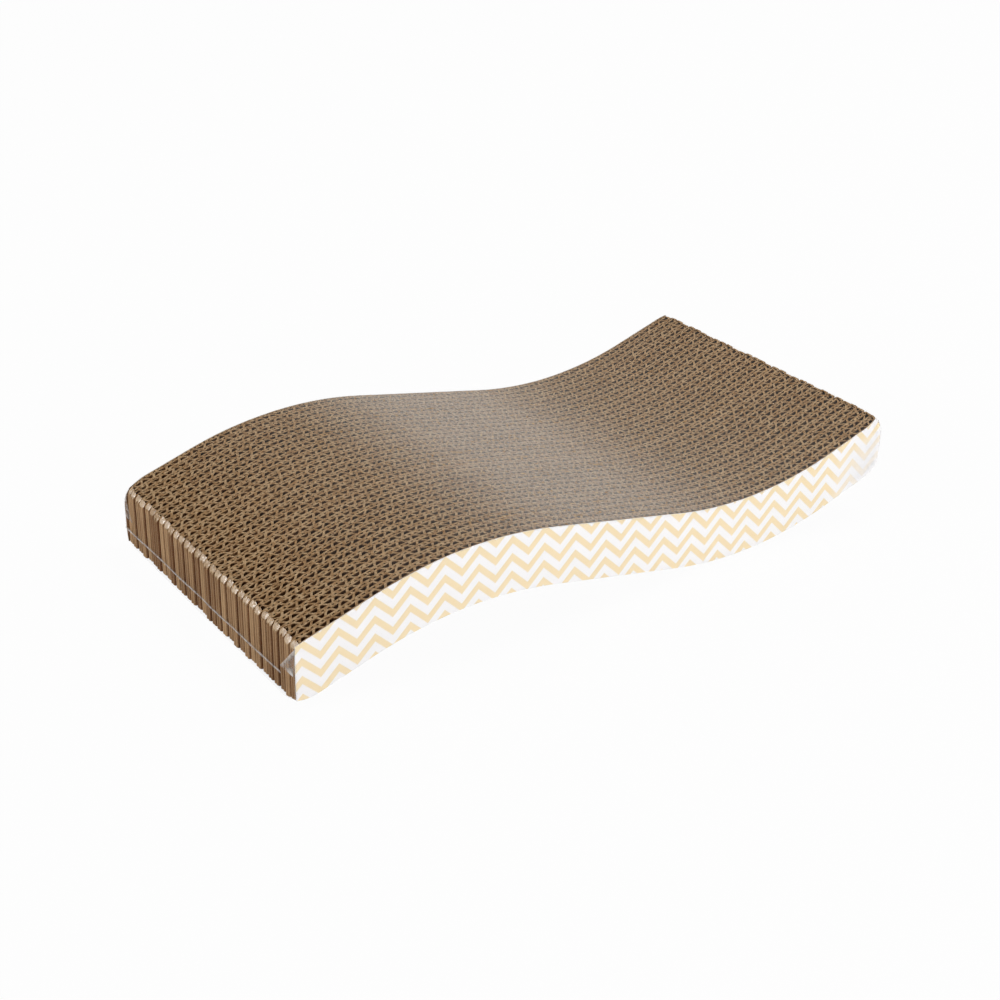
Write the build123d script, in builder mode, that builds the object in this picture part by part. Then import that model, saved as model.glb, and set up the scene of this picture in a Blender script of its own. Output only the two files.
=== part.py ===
"""Wave-shaped cardboard cat scratcher, in millimetres, +X along the pad and +Z up.

Strips of double-wall fluted board stand on edge with their flutes upright, glued side by side
between two printed side panels. A clear film is shrunk round the pad and welded along its ends
and its back.
"""

import os
from math import acos, atan2, ceil, cos, hypot, sin

from build123d import *

os.makedirs("parts", exist_ok=True)

# Pad
pad_length = 430.0
strip_height = 37.5  # measured upright, the same all along the wave
strip_count = 32
glue_line = 0.05  # between neighbours across the pad

# Wave that the upper and lower edges of every strip follow
wave_height = 27.1  # from trough to crest
crest_share = 0.435  # distance of the crest from the middle, of half the length
round_share = 0.85  # radius over the crest, of the largest that still meets the end corner

# Fluted board: liner, large flute, liner, small flute, liner
liner_thickness = 0.3
medium_thickness = 0.25  # paper of the flutes, over their tips
bond_width = 0.6  # glued foot of a flute on its liner
large_flute_height = 3.7
large_flute_pitch = 8.88
small_flute_height = 2.08
small_flute_pitch = 6.42
phase_shares = (0.0, 0.55, 0.2, 0.75)  # start of the flutes in successive strips, of their pitch

# Printed side panels
panel_thickness = 0.4

# Shrink film
film_thickness = 0.15
film_gap = 0.1  # between the film and the cardboard
seam_width = 1.2
seam_stand = 0.35  # how far the weld stands out of the film
seam_share = 0.65  # depth of the weld below the upper edge, of the strip height

# Length by which cuts run past the cardboard
cut_overrun = 1.0

half_length = pad_length / 2
amplitude = wave_height / 2
crest_offset = crest_share * half_length
end_run = half_length - crest_offset
crest_radius = round_share * (end_run**2 + wave_height**2) / (2 * wave_height)

liner_count = 3
board_thickness = liner_count * liner_thickness + large_flute_height + small_flute_height
strip_pitch = board_thickness + glue_line
strips_width = strip_count * strip_pitch - glue_line
pad_width = strips_width + 2 * (glue_line + panel_thickness)

film_reach = film_gap + film_thickness
lower_edge_level = film_reach + amplitude  # middle of the lower edge, above the floor
upper_edge_level = lower_edge_level + strip_height
cut_height = upper_edge_level + amplitude + cut_overrun


def tangent_turn(run, drop):
    """Angle from the crest to where a line touches its arc, for a line that starts at a point
    which lies run beside the crest and drop below it."""
    centre_rise = crest_radius - drop
    return atan2(run, centre_rise) - acos(crest_radius / hypot(run, centre_rise))


def crest_point(turn):
    """Point of the arc over the crest, at an angle from its top, positive towards the middle."""
    sink = crest_radius * (1 - cos(turn))
    return Vector(crest_radius * sin(turn) - crest_offset, amplitude - sink)


# The wave about its own middle. Its right half is its left half turned by half a turn, so each
# point here also stands for the opposite one. Its left end is level with its trough.
wave_end = Vector(-half_length, -amplitude)
wave_rise = crest_point(-tangent_turn(end_run, wave_height))
wave_crest = crest_point(0)
wave_fall = crest_point(tangent_turn(crest_offset, amplitude))


def wave_edge(level):
    """Wave drawn from left to right: straight rise, crest, straight slope, trough, straight rise."""
    middle = Vector(0, level)
    Line(middle + wave_end, middle + wave_rise)
    ThreePointArc(middle + wave_rise, middle + wave_crest, middle + wave_fall)
    Line(middle + wave_fall, middle - wave_fall)
    ThreePointArc(middle - wave_fall, middle - wave_crest, middle - wave_rise)
    Line(middle - wave_rise, middle - wave_end)


def wave_band(level, height):
    """Outline of a band between two wave edges, with upright ends, in its own flat plane."""
    low = Vector(0, level)
    high = Vector(0, level + height)
    with BuildSketch() as band:
        with BuildLine():
            wave_edge(level)
            wave_edge(level + height)
            Line(low + wave_end, high + wave_end)
            Line(low - wave_end, high - wave_end)
        make_face()
    return band.sketch


strip_outline = wave_band(lower_edge_level, strip_height)


def flute_openings(first_liner_face, flute_height, flute_pitch, phase_share):
    """Rows of triangular openings on both sides of one fluted paper, base on the liner."""
    half_base = (flute_pitch - bond_width) / 2
    tip = flute_height - medium_thickness
    second_liner_face = first_liner_face + flute_height
    start = -half_length - phase_share * flute_pitch
    flutes = range(ceil(pad_length / flute_pitch) + 2)
    near_row = [Location((start + n * flute_pitch, first_liner_face)) for n in flutes]
    far_row = [
        Location((start + (n + 1 / 2) * flute_pitch, second_liner_face), 180) for n in flutes
    ]
    with Locations(*near_row, *far_row):
        Polygon((-half_base, 0), (half_base, 0), (0, tip), align=None)


def fluted_strip(phase_share):
    """One strip of board with its front liner on the XZ plane."""
    with BuildPart() as board:
        with BuildSketch(Plane.XZ):
            add(strip_outline)
        extrude(amount=-board_thickness)
        with BuildSketch(Plane.XY):
            large_face = liner_thickness
            small_face = large_face + large_flute_height + liner_thickness
            flute_openings(large_face, large_flute_height, large_flute_pitch, phase_share)
            flute_openings(small_face, small_flute_height, small_flute_pitch, phase_share)
        extrude(amount=cut_height, mode=Mode.SUBTRACT)
    return board.part


def save(piece, name):
    """Write one finished piece under its own name."""
    piece.part.label = name
    export_step(piece.part, f"parts/{name}.step", write_pcurves=False)


# Strips, front to back
strip_kinds = [fluted_strip(share) for share in phase_shares]
for number in range(strip_count):
    strip_face = number * strip_pitch - strips_width / 2
    with BuildPart() as strip:
        with Locations((0, strip_face, 0)):
            add(strip_kinds[number % len(strip_kinds)], clean=False)
    save(strip, f"strip_{number + 1:02d}")

# Printed panel on the front
with BuildPart() as front_panel:
    with BuildSketch(Plane.XZ.offset(pad_width / 2)):
        add(strip_outline)
    extrude(amount=-panel_thickness)
save(front_panel, "front_panel")

# Printed panel on the back
with BuildPart() as back_panel:
    with BuildSketch(Plane.XZ.offset(-pad_width / 2)):
        add(strip_outline)
    extrude(amount=panel_thickness)
save(back_panel, "back_panel")

# Film: outer skin, weld along the back and both ends, then the space for the pad
seam_level = upper_edge_level - seam_share * strip_height
seam_reach = film_reach + seam_stand
with BuildPart() as shrink_film:
    with BuildSketch(Plane.XZ.offset(pad_width / 2 + film_reach)):
        add(strip_outline)
        offset(amount=film_reach)
    extrude(amount=-(pad_width + 2 * film_reach))
    with BuildSketch(Plane.XZ.offset(-pad_width / 2)):
        add(wave_band(seam_level - seam_width / 2, seam_width))
    extrude(amount=-seam_reach)
    for corner in (wave_end, -wave_end):
        with Locations((corner.X, seam_reach / 2, seam_level + corner.Y)):
            Box(2 * seam_reach, pad_width + seam_reach, seam_width)
    with BuildSketch(Plane.XZ.offset(pad_width / 2 + film_gap)):
        add(strip_outline)
        offset(amount=film_gap)
    extrude(amount=-(pad_width + 2 * film_gap), mode=Mode.SUBTRACT)
save(shrink_film, "shrink_film")
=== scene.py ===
"""Cardboard cat scratcher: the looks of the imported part, in metres, in the part's own frame.

Strips of double-wall fluted board stand on edge between two printed panels, inside a clear shrink
film. Each strip is built from its papers: three liners with a large and a small fluted paper.
"""

import math

import bpy
import numpy as np
from bpy.props import FloatProperty, FloatVectorProperty, IntProperty, PointerProperty
from mathutils import Color, Matrix, Vector


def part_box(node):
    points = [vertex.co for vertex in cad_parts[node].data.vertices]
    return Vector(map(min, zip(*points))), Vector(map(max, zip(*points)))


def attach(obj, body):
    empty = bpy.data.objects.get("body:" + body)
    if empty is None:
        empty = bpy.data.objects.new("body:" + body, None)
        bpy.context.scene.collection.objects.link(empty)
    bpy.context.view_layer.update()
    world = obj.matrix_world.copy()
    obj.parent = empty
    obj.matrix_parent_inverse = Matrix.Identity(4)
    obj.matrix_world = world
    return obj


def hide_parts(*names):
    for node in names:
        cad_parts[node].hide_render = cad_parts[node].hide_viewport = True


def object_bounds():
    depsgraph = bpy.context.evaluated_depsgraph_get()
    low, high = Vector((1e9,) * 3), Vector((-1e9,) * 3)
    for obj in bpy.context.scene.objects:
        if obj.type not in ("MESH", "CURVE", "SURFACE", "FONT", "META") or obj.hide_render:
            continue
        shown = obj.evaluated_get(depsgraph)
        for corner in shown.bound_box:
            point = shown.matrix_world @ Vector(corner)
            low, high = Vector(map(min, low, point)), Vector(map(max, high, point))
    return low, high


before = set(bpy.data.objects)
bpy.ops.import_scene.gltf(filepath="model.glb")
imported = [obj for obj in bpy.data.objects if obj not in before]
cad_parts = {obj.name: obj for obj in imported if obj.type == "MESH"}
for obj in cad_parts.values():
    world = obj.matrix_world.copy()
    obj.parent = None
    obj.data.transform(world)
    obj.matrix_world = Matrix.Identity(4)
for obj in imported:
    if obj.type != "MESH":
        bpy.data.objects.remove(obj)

bl_info = {
    "name": "Cardboard cat scratcher",
    "version": (1, 0, 0),
    "blender": (4, 5, 0),
    "location": "View3D > Sidebar > Scratcher",
    "description": "Builds a wave-shaped pad of fluted board with printed panels and a clear film",
    "category": "Mesh",
}

CAD_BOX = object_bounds()
BODY = "root"
STRIP_NODES = sorted(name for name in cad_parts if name.startswith("strip_"))
PANEL_NODES = ("front_panel", "back_panel")
FILM_NODE = "shrink_film"

DISPLAY_STEPS = 255


def display_colour(red, green, blue):
    """Linear colour for a colour as it looks on a display, each part from 0 to 255."""
    shares = Color((red / DISPLAY_STEPS, green / DISPLAY_STEPS, blue / DISPLAY_STEPS))
    return tuple(shares.from_srgb_to_scene_linear())


class WaveSizes(bpy.types.PropertyGroup):
    """Lazy wave that the upper and lower edges of the pad follow."""

    strip_height: FloatProperty(
        name="Strip height",
        description="Upright height of the board, the same all along the wave",
        default=0.0375,
        unit="LENGTH",
    )
    crest_share: FloatProperty(
        name="Crest share",
        description="Distance of the crest from the middle, of half the length",
        default=0.435,
        subtype="FACTOR",
    )
    round_share: FloatProperty(
        name="Round share",
        description="Radius over the crest, of the largest that still meets the end corner",
        default=0.85,
        subtype="FACTOR",
    )


class BoardSizes(bpy.types.PropertyGroup):
    """Papers of the double-wall board and how unevenly the strips were cut and stacked."""

    liner_thickness: FloatProperty(
        name="Liner thickness", description="Flat papers", default=0.0003, unit="LENGTH"
    )
    medium_thickness: FloatProperty(
        name="Medium thickness", description="Fluted papers", default=0.00028, unit="LENGTH"
    )
    large_height: FloatProperty(
        name="Large flute height", description="Between its liners", default=0.0037, unit="LENGTH"
    )
    large_pitch: FloatProperty(
        name="Large flute pitch", description="Along the strip", default=0.00888, unit="LENGTH"
    )
    small_height: FloatProperty(
        name="Small flute height", description="Between its liners", default=0.00208, unit="LENGTH"
    )
    small_pitch: FloatProperty(
        name="Small flute pitch", description="Along the strip", default=0.00642, unit="LENGTH"
    )
    burr_depth: FloatProperty(
        name="Burr depth",
        description="How far the rough cut edge reaches down each paper",
        default=0.0011,
        unit="LENGTH",
    )
    liner_burr: FloatProperty(
        name="Liner burr", description="Thickness of a liner's cut edge, of its paper", default=2.8
    )
    large_burr: FloatProperty(
        name="Large flute burr", description="Thickness of its cut edge, of its paper", default=6.2
    )
    small_burr: FloatProperty(
        name="Small flute burr", description="Thickness of its cut edge, of its paper", default=9.0
    )
    nose_depth: FloatProperty(
        name="Nose depth",
        description="Length over which the cut has pressed a strip's end round",
        default=0.0024,
        unit="LENGTH",
    )
    nose_gap: FloatProperty(
        name="Nose gap", description="Between pressed ends", default=0.0008, unit="LENGTH"
    )
    nose_paper: FloatProperty(
        name="Nose paper", description="Each paper pressed into an end", default=0.0006, unit="LENGTH"
    )
    tip_radii: FloatVectorProperty(
        name="Tip radii",
        description="Rounded upper corners of a strip at its left and its right end",
        default=(0.0045, 0.0018),
        size=2,
        unit="LENGTH",
    )
    end_spread: FloatProperty(
        name="End spread", description="Unevenness of the strip ends", default=0.0011, unit="LENGTH"
    )
    level_spread: FloatProperty(
        name="Level spread",
        description="Unevenness of the strips' upper edges",
        default=0.00014,
        unit="LENGTH",
    )
    foot_spread: FloatProperty(
        name="Foot spread",
        description="Unevenness of the strips' lower edges",
        default=0.0006,
        unit="LENGTH",
    )
    seed: IntProperty(name="Seed", description="Start of the random unevenness", default=11)


class CornerPress(bpy.types.PropertyGroup):
    """How far the film has drawn in the pad's upper corners: along the pad, then across it."""

    left_front: FloatVectorProperty(
        name="Left front", description="Inwards", default=(0.0006, 0.0003), size=2, unit="LENGTH"
    )
    left_back: FloatVectorProperty(
        name="Left back", description="Inwards", default=(0.0034, 0.0016), size=2, unit="LENGTH"
    )
    right_front: FloatVectorProperty(
        name="Right front", description="Inwards", default=(0.0048, 0.0012), size=2, unit="LENGTH"
    )
    right_back: FloatVectorProperty(
        name="Right back", description="Inwards", default=(0.003, 0.002), size=2, unit="LENGTH"
    )
    lifts: FloatVectorProperty(
        name="Lifts",
        description="Lower corners upwards: left front, left back, right front, right back",
        default=(0.0042, 0.0004, 0.0032, 0.001),
        size=4,
        unit="LENGTH",
    )
    reach: FloatProperty(
        name="Reach", description="Along the edges from a corner", default=0.014, unit="LENGTH"
    )
    fade: FloatProperty(
        name="Fade", description="Down from the upper edge", default=0.012, unit="LENGTH"
    )
    foot_share: FloatProperty(
        name="Foot share",
        description="Lower corners, of the upper ones",
        default=0.15,
        subtype="FACTOR",
    )


class BoardColours(bpy.types.PropertyGroup):
    """Kraft paper of the strips."""

    light: FloatVectorProperty(
        name="Light kraft",
        description="Palest paper",
        default=display_colour(218, 179, 135),
        subtype="COLOR",
    )
    dark: FloatVectorProperty(
        name="Dark kraft",
        description="Darkest paper",
        default=display_colour(122, 82, 52),
        subtype="COLOR",
    )
    cut_edge: FloatVectorProperty(
        name="Cut edge",
        description="Torn fibres along the cut",
        default=display_colour(214, 182, 140),
        subtype="COLOR",
    )
    cut_shade: FloatVectorProperty(
        name="Cut shade",
        description="Duller fibres along the cut",
        default=display_colour(184, 146, 102),
        subtype="COLOR",
    )
    # Paler pressed paper with the film's sheen painted into it
    tip: FloatVectorProperty(
        name="Tip",
        description="Pressed ends under the tight film",
        default=display_colour(245, 208, 160),
        subtype="COLOR",
    )


class PrintLook(bpy.types.PropertyGroup):
    """Chevron print of the side panels."""

    paper: FloatVectorProperty(
        name="Paper", description="Coated card", default=display_colour(249, 247, 248), subtype="COLOR"
    )
    ink: FloatVectorProperty(
        name="Ink", description="Printed bands", default=display_colour(245, 224, 183), subtype="COLOR"
    )
    card_core: FloatVectorProperty(
        name="Card core",
        description="Cut edges of the card",
        default=display_colour(226, 218, 206),
        subtype="COLOR",
    )
    zigzag_length: FloatProperty(
        name="Zigzag length", description="From low point to low point", default=0.022365, unit="LENGTH"
    )
    zigzag_rise: FloatProperty(
        name="Zigzag rise", description="From low point to high point", default=0.01086, unit="LENGTH"
    )
    first_low: FloatProperty(
        name="First low point", description="Along the pad", default=0.00147, unit="LENGTH"
    )
    band_repeat: FloatProperty(
        name="Band repeat", description="Upright, from band to band", default=0.011205, unit="LENGTH"
    )
    band_share: FloatProperty(
        name="Band share", description="Printed part of the repeat", default=0.46, subtype="FACTOR"
    )
    band_middle: FloatProperty(
        name="Band middle", description="Within the repeat", default=0.49, subtype="FACTOR"
    )


class FilmLook(bpy.types.PropertyGroup):
    """Clear shrink film with its weld."""

    thickness: FloatProperty(
        name="Thickness", description="Of the film", default=0.00008, unit="LENGTH"
    )
    reach: FloatProperty(
        name="Reach", description="Film's outside from the cardboard", default=0.0002, unit="LENGTH"
    )
    sink: FloatProperty(
        name="Sink", description="Film drawn in between strip ends", default=0.00008, unit="LENGTH"
    )
    weld_height: FloatProperty(
        name="Weld height", description="Of the pressed line", default=0.0026, unit="LENGTH"
    )
    weld_stand: FloatProperty(
        name="Weld stand", description="Weld's middle from the film", default=0.0003, unit="LENGTH"
    )
    weld_shares: FloatVectorProperty(
        name="Weld shares",
        description="Weld's level at the front and at the back, of the strip height",
        default=(0.37, 0.275),
        size=2,
    )
    weld_start: FloatProperty(
        name="Weld start", description="From the front corners", default=0.0157, unit="LENGTH"
    )
    fold_length: FloatProperty(
        name="Fold length", description="Corner folds across the pad", default=0.0168, unit="LENGTH"
    )
    fold_share: FloatProperty(
        name="Fold share",
        description="Level of a corner fold's lower edge, of the strip height",
        default=0.48,
        subtype="FACTOR",
    )
    tint: FloatVectorProperty(
        name="Tint", description="Colour of its shine", default=(0.98, 0.96, 0.9), subtype="COLOR"
    )
    # Colour of the painted sheen: a pale diffuse veil on the inner face that stands in for the film's
    # glare
    sheen_veil_tint: FloatVectorProperty(
        name="Haze tint",
        description="Cloudy inner face",
        default=display_colour(248, 250, 248),
        subtype="COLOR",
    )
    weld_tint: FloatVectorProperty(
        name="Weld tint",
        description="Milky film of the weld and the folds",
        default=display_colour(246, 244, 242),
        subtype="COLOR",
    )
    roughness: FloatProperty(
        name="Roughness", description="Of the film", default=0.34, subtype="FACTOR"
    )
    seed: IntProperty(name="Seed", description="Start of the random wrinkles", default=5)


class StageLook(bpy.types.PropertyGroup):
    """Floor, light and camera."""

    floor: FloatVectorProperty(
        name="Floor", description="Pale floor", default=(0.7, 0.7, 0.7), subtype="COLOR"
    )
    backdrop: FloatProperty(
        name="Backdrop", description="Brightness of the backdrop low down", default=1.12
    )
    surround: FloatProperty(
        name="Surround", description="Brightness low down on the other sides", default=0.096
    )
    ceiling: FloatProperty(name="Ceiling", description="Brightness higher up", default=0.08)
    key_power: FloatProperty(
        name="Key power", description="Wide lamp low in front", default=15.2, unit="POWER"
    )
    top_power: FloatProperty(
        name="Top power", description="Large lamp overhead", default=40.0, unit="POWER"
    )
    side_power: FloatProperty(
        name="Side power", description="Lamp at the low end", default=23.5, unit="POWER"
    )
    azimuth: FloatProperty(
        name="Azimuth", description="Camera", default=math.radians(-35.607), subtype="ANGLE"
    )
    elevation: FloatProperty(
        name="Elevation", description="Camera", default=math.radians(27.359), subtype="ANGLE"
    )
    roll: FloatProperty(name="Roll", description="Camera", default=math.radians(1.471), subtype="ANGLE")
    distance: FloatProperty(
        name="Distance", description="Camera from its target", default=1.04328, unit="LENGTH"
    )
    target: FloatVectorProperty(
        name="Target",
        description="Point that the camera looks at",
        default=(-0.02062, -0.01646, 0.030),
        subtype="XYZ",
        unit="LENGTH",
    )
    lens: FloatProperty(
        name="Lens", description="Focal length in millimetres", default=60.587, unit="CAMERA"
    )


SETTINGS = {
    "scratcher_wave": WaveSizes,
    "scratcher_board": BoardSizes,
    "scratcher_corners": CornerPress,
    "scratcher_kraft": BoardColours,
    "scratcher_print": PrintLook,
    "scratcher_film": FilmLook,
    "scratcher_stage": StageLook,
}


# Shape of the pad

class Wave:
    """Upper and lower edge of the pad, from the frame's box and the wave sizes."""

    def __init__(self, sizes):
        low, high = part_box(PANEL_NODES[0])
        self.half_length = (high.x - low.x) / 2
        self.height = sizes.strip_height
        drop = high.z - low.z - self.height
        run = (1 - sizes.crest_share) * self.half_length
        self.amplitude = drop / 2
        self.middle = low.z + self.amplitude
        self.crest = self.half_length - run
        self.radius = sizes.round_share * (run**2 + drop**2) / (2 * drop)
        self.arc_start = -self.radius * math.sin(self.turn(self.crest, self.amplitude))
        self.arc_stop = self.radius * math.sin(self.turn(run, drop))

    def turn(self, run, drop):
        """Angle from the crest to where a line touches its arc, for a line that starts at a point
        which lies run beside the crest and drop below it."""
        rise = self.radius - drop
        return math.atan2(run, rise) - math.acos(self.radius / math.hypot(run, rise))

    def lower(self, x):
        """Height of the lower edge at distances x along the pad."""
        past_crest = np.abs(x) - self.crest
        on_arc = np.clip(past_crest, self.arc_start, self.arc_stop)
        depth = np.sqrt(self.radius**2 - on_arc**2)
        sink = self.radius - depth + on_arc / depth * (past_crest - on_arc)
        return self.middle - np.sign(x) * (self.amplitude - sink)


def half_width():
    """Half the distance over the outer faces of the two panels."""
    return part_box(PANEL_NODES[1])[1].y


def press_corners(points, wave, press):
    """Draw the pad's upper and lower corners in, as the tight film has done."""
    x, y, z = points.T.copy()
    above_foot = z - wave.lower(x)
    below_top = wave.height - above_foot
    upper = np.clip(1 - below_top / press.fade, 0, 1) ** 2
    lower = np.clip(1 - above_foot / press.fade, 0, 1) ** 2
    level = upper + press.foot_share * lower
    corners = (
        (-1, -1, press.left_front),
        (-1, 1, press.left_back),
        (1, -1, press.right_front),
        (1, 1, press.right_back),
    )
    for (x_side, y_side, (end_press, side_press)), lift in zip(corners, press.lifts):
        from_side = np.clip(1 - (half_width() - y_side * y) / press.reach, 0, 1)
        from_end = np.clip(1 - (wave.half_length - x_side * x) / press.reach, 0, 1)
        points[:, 0] -= x_side * end_press * level * from_side**2 * from_end
        points[:, 1] -= y_side * side_press * level * from_end**2 * from_side
        points[:, 2] += lift * lower * from_end**2 * from_side
    return points


def grid_faces(number):
    """Faces between the neighbours in a grid of point numbers."""
    ring = (number[:-1, :-1], number[:-1, 1:], number[1:, 1:], number[1:, :-1])
    return np.stack([corner.ravel() for corner in ring], axis=1)


class Sheets:
    """Mesh of thin upright sheets, each along its own line in plan, with values for its paper."""

    def __init__(self):
        self.points = []
        self.faces = []
        self.values = {"paper_tone": [], "cut_edge": [], "tip": []}
        self.count = 0

    def add(self, line, half_thickness, rows, tone):
        """Add a sheet along line. A row holds its levels, the shares of the thickness towards its
        near and far faces and how much of a cut edge it is, from the foot to the top."""
        steps = len(line)
        along = np.gradient(line, axis=0)
        along /= np.linalg.norm(along, axis=1, keepdims=True)
        across = np.column_stack((-along[:, 1], along[:, 0])) * half_thickness
        for levels, near_share, far_share, edge in rows:
            near = np.reshape(near_share, (-1, 1)) * across
            far = np.reshape(far_share, (-1, 1)) * across
            self.points.append(np.column_stack((line - near, levels)))
            self.points.append(np.column_stack((line + far, levels)))
            self.values["cut_edge"].append(np.full(2 * steps, edge))
            self.values["paper_tone"].append(np.tile(np.broadcast_to(tone, steps), 2))
            self.values["tip"].append(np.zeros(2 * steps))
        index = self.count + np.arange(len(rows) * 2 * steps).reshape(len(rows), 2, steps)
        near, far = index[:, 0], index[:, 1]
        self.skin(near[:-1, :-1], near[:-1, 1:], near[1:, 1:], near[1:, :-1])
        self.skin(far[:-1, 1:], far[:-1, :-1], far[1:, :-1], far[1:, 1:])
        self.skin(near[-1, :-1], near[-1, 1:], far[-1, 1:], far[-1, :-1])
        self.skin(near[0, 1:], near[0, :-1], far[0, :-1], far[0, 1:])
        self.skin(far[:-1, 0], near[:-1, 0], near[1:, 0], far[1:, 0])
        self.skin(near[:-1, -1], far[:-1, -1], far[1:, -1], near[1:, -1])
        self.count += index.size

    def add_lid(self, points, tone, tip):
        """Add a cut surface from a grid of points."""
        rows, columns = points.shape[:2]
        index = self.count + np.arange(rows * columns).reshape(rows, columns)
        self.points.append(points.reshape(-1, 3))
        self.values["cut_edge"].append(np.ones(index.size))
        self.values["paper_tone"].append(np.full(index.size, tone))
        self.values["tip"].append(np.full(index.size, tip))
        self.faces.append(grid_faces(index))
        self.count += index.size

    def skin(self, *corners):
        """Add the faces between four matching sets of points."""
        self.faces.append(np.stack([np.ravel(corner) for corner in corners], axis=1))

    def all_points(self):
        """Every point of every sheet."""
        return np.concatenate(self.points)

    def all_faces(self):
        """Every face of every sheet."""
        return np.concatenate(self.faces)

    def all_values(self):
        """The paper values of every point."""
        return {name: np.concatenate(parts) for name, parts in self.values.items()}


SHARP_ANGLE = math.radians(40)


def mesh_piece(name, points, faces, materials, values=None, face_materials=None):
    """Object of a new mesh with its materials and the values that they read."""
    mesh = bpy.data.meshes.new(name)
    mesh.from_pydata(points.tolist(), [], [list(face) for face in faces])
    for key, numbers in (values or {}).items():
        layer = mesh.attributes.new(key, "FLOAT", "POINT")
        layer.data.foreach_set("value", np.asarray(numbers, np.float32))
    mesh.shade_smooth()
    mesh.set_sharp_from_angle(angle=SHARP_ANGLE)
    for material in materials:
        mesh.materials.append(material)
    if face_materials is not None:
        mesh.polygons.foreach_set("material_index", np.asarray(face_materials, np.int32))
    if mesh.validate():
        raise RuntimeError(f"{name} has faces that can't be kept")
    piece = bpy.data.objects.new(name, mesh)
    bpy.context.scene.collection.objects.link(piece)
    return piece


def place(piece, node):
    """Attach a finished piece to its body and hide the solid that it stands for."""
    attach(piece, BODY)
    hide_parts(node)


# Shader nodes

class Wire:
    """One node's output. Arithmetic on it adds Math nodes to the same material."""

    def __init__(self, nodes, socket):
        self.nodes = nodes
        self.socket = socket

    def math(self, operation, *values):
        settings = {"operation": operation}
        return self.nodes.add("ShaderNodeMath", settings, dict(enumerate(values)))

    def __add__(self, other):
        return self.math("ADD", self, other)

    def __radd__(self, other):
        return self.math("ADD", other, self)

    def __sub__(self, other):
        return self.math("SUBTRACT", self, other)

    def __rsub__(self, other):
        return self.math("SUBTRACT", other, self)

    def __mul__(self, other):
        return self.math("MULTIPLY", self, other)

    def __rmul__(self, other):
        return self.math("MULTIPLY", other, self)

    def __truediv__(self, other):
        return self.math("DIVIDE", self, other)

    def __rtruediv__(self, other):
        return self.math("DIVIDE", other, self)

    def __abs__(self):
        return self.math("ABSOLUTE", self)

    def power(self, exponent):
        return self.math("POWER", self, exponent)

    def fraction(self):
        return self.math("FRACT", self)

    def at_most(self, limit):
        return self.math("MINIMUM", self, limit)


class Nodes:
    """Nodes of one material or world."""

    def __init__(self, tree):
        self.tree = tree
        tree.nodes.clear()

    def add(self, kind, settings=None, inputs=None, output=0):
        """Add a node, apply its settings, then its socket values and links."""
        node = self.tree.nodes.new(kind)
        for key, value in (settings or {}).items():
            setattr(node, key, value)
        for key, value in (inputs or {}).items():
            socket = self.find(node.inputs, key)
            if isinstance(value, Wire):
                self.tree.links.new(value.socket, socket)
            else:
                socket.default_value = value
        return Wire(self, self.find(node.outputs, output)) if node.outputs else None

    @staticmethod
    def find(sockets, key):
        if isinstance(key, int):
            return sockets[key]
        return next(socket for socket in sockets if key in (socket.identifier, socket.name))

    def coordinates(self):
        return self.add("ShaderNodeTexCoord", output="Object")

    def value(self, name):
        """A value that the mesh holds for each point."""
        return self.add("ShaderNodeAttribute", {"attribute_name": name}, output="Fac")

    def stretch(self, vector, scales):
        return self.add("ShaderNodeVectorMath", {"operation": "MULTIPLY"}, {0: vector, 1: scales})

    def noise(self, vector, scale, detail):
        inputs = {"Vector": vector, "Scale": scale, "Detail": detail}
        return self.add("ShaderNodeTexNoise", None, inputs, "Fac")

    def part(self, vector, axis):
        return self.add("ShaderNodeSeparateXYZ", None, {"Vector": vector}, axis)

    def span(self, value, low, high):
        """From low to high as a value goes from 0 to 1."""
        return low + (high - low) * value

    def smooth(self, value, low, high):
        """0 below low, 1 above high, and eased between them."""
        inputs = {"Value": value, "From Min": low, "From Max": high}
        return self.add("ShaderNodeMapRange", {"interpolation_type": "SMOOTHSTEP"}, inputs)

    def mix(self, factor, first, second):
        """Blend of two colours."""
        inputs = {"Factor_Float": factor, "A_Color": first, "B_Color": second}
        return self.add("ShaderNodeMix", {"data_type": "RGBA"}, inputs, "Result_Color")

    def bump(self, height, strength, distance):
        inputs = {"Height": height, "Strength": strength, "Distance": distance}
        return self.add("ShaderNodeBump", None, inputs)

    def principled(self, inputs):
        return self.add("ShaderNodeBsdfPrincipled", None, inputs)

    def blend(self, factor, first, second):
        """Blend of two shaders."""
        return self.add("ShaderNodeMixShader", None, {0: factor, 1: first, 2: second})

    def finish(self, surface, kind="ShaderNodeOutputMaterial"):
        self.add(kind, None, {"Surface": surface})


def opaque(colour):
    """A colour with its alpha."""
    return (*colour, 1.0)


def new_material(name):
    """An empty node material."""
    material = bpy.data.materials.new(name)
    material.use_nodes = True
    return material, Nodes(material.node_tree)


# Finishes. A noise is its scale per metre and its detail, a bump its strength and its depth

KRAFT_STRETCH = (0.25, 1.0, 1.0)
KRAFT_FIBRES = (1600.0, 4.0)
KRAFT_BLOTCHES = (45.0, 3.0)
KRAFT_SPECKS = (700.0, 2.0)
KRAFT_PATCHES = (330.0, 2.0)
SHEET_SHARE = 0.6
FIBRE_SHARE = 0.3
BLOTCH_SHARE = 0.25
TONE_SHIFT = 0.1
TONE_ENDS = (0.15, 0.85)
SPECK_ENDS = (0.2, 0.55)
PATCH_ENDS = (0.4, 0.6)
TORN_COVER = 0.85
TIP_PALE_AND_SHEEN_COVER = 0.4
TIP_COAT = 0.9
TIP_COAT_ROUGHNESS = 0.18
TIP_COAT_IOR = 2.4
KRAFT_ROUGHNESS = (0.82, 0.97)
KRAFT_SPECULAR = 0.2
KRAFT_BUMP = (0.35, 0.0002)


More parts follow.
